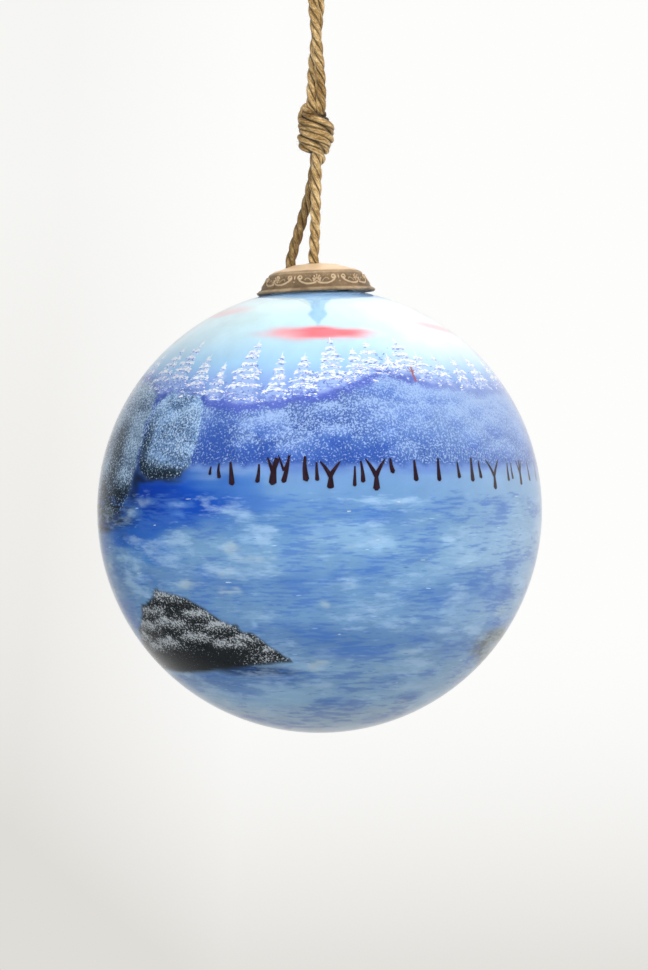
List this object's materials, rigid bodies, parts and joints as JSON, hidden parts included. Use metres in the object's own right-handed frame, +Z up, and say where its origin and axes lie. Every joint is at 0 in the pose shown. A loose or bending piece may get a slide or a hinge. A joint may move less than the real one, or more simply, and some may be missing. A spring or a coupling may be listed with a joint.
{
  "type": "glass ball ornament",
  "caption": "Inside-painted blown glass ball with a cast bronze cap, hung on a doubled jute rope with a knot and an eye for a hook.",
  "frame": {"origin": "inside top of the rope loop's eye, where a hook bears", "axes": "+Z up along the hanging rope, the painted front facing -Y, +X to the right seen from the front"},
  "size_m": [0.15, 0.1496, 0.2804],
  "materials": {
    "glass": "clear polished blown glass",
    "paint": "hand-painted winter scene laid on the inside of the glass, with a white backing coat",
    "bronze": "cast, embossed, antique bronze patina",
    "jute": "natural three-strand laid jute rope",
    "glue": "set bead of glue"
  },
  "bodies": {
    "eye": {"loop_eye": "jute"},
    "runs": {"right_run": "jute", "left_run": "jute"},
    "knot": {"rope_knot": "jute"},
    "ball": {"glass_ball": "glass", "painted_lining": "paint", "cap_shell": "bronze", "glue_bead": "glue", "end_knot": "jute", "front_tail": "jute", "back_tail": "jute"}
  },
  "joints": [
    {"name": "loop_swing", "type": "hinge", "parent": "eye", "child": "runs", "pos_m": [0, 0, 0], "axis": [0, 1, 0], "range_deg": [-25, 25], "deforming": ["loop_eye"]},
    {"name": "rope_twist", "type": "hinge", "parent": "runs", "child": "knot", "pos_m": [0, 0, 0], "axis": [0, 0, 1], "range_deg": [-180, 180]},
    {"name": "ball_sway", "type": "hinge", "parent": "knot", "child": "ball", "pos_m": [0, 0, -0.0734], "axis": [1, 0, 0], "range_deg": [-25, 25]}
  ]
}
